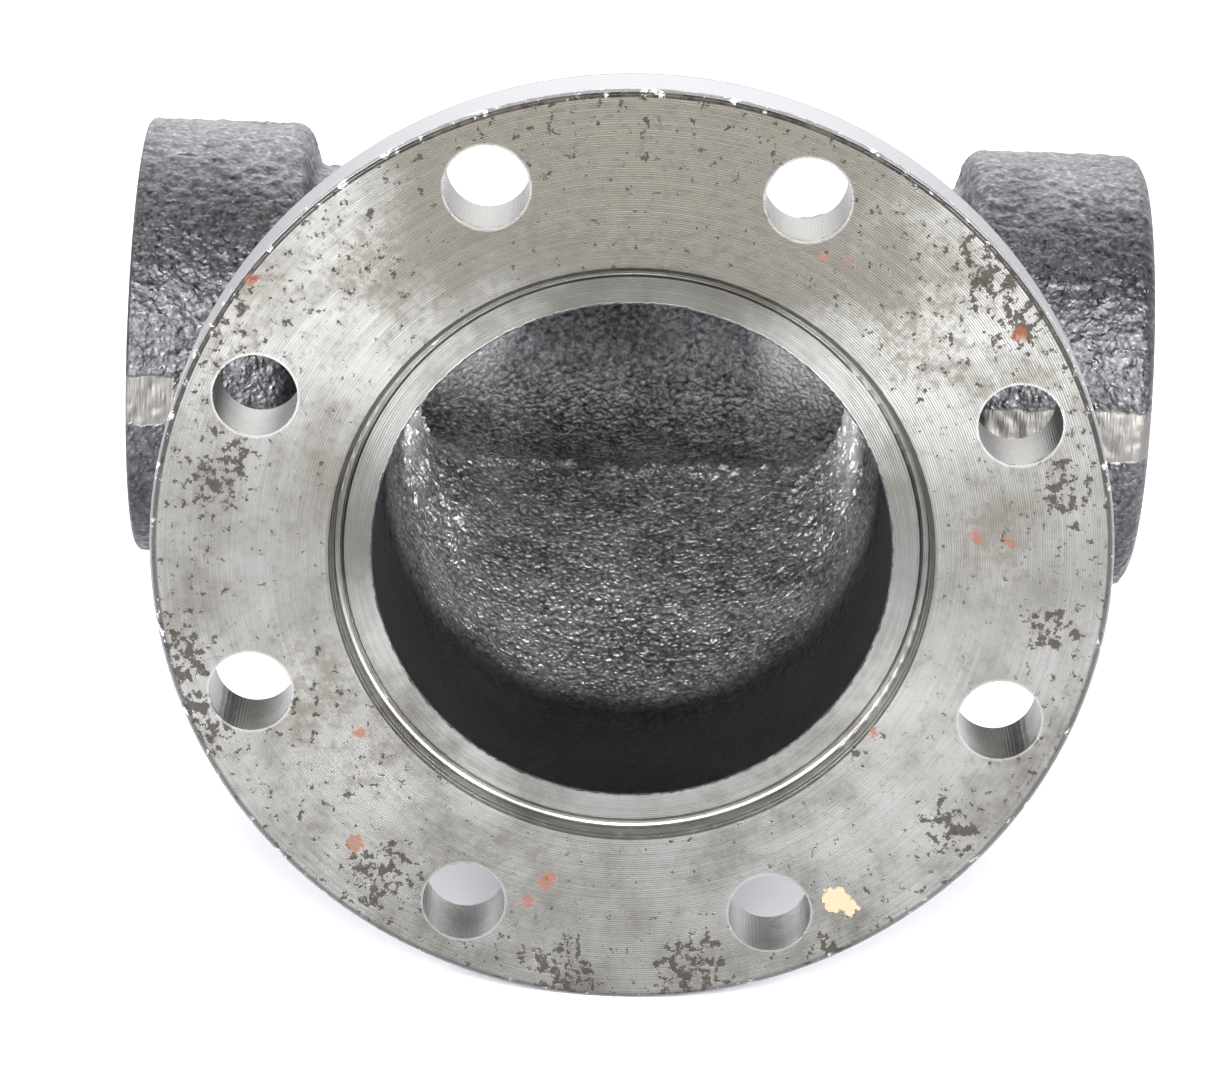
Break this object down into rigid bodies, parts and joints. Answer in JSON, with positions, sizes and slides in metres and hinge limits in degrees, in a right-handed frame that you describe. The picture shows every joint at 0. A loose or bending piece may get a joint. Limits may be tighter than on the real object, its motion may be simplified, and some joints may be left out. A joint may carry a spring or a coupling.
{
  "type": "flanged reducing tee fitting",
  "caption": "Cast iron pipe tee with a round drilled flange and machined recess on the branch and female threaded ends on the run.",
  "frame": {"origin": "centre of the machined branch flange face, on the branch axis", "axes": "-Y points out of the branch, normal to the flange face; X runs along the run axis; +Z is square to both, and the flange holes straddle it"},
  "size_m": [0.294, 0.2462, 0.254],
  "materials": {
    "machined_iron": "lathe-turned face on a sand-cast flange",
    "rough_iron": "rough sand-cast"
  },
  "bodies": {
    "root": {"branch_flange": "machined_iron", "branch_reducer": "rough_iron", "centre_barrel": "rough_iron", "left_hub": "rough_iron", "right_hub": "rough_iron"}
  },
  "joints": []
}
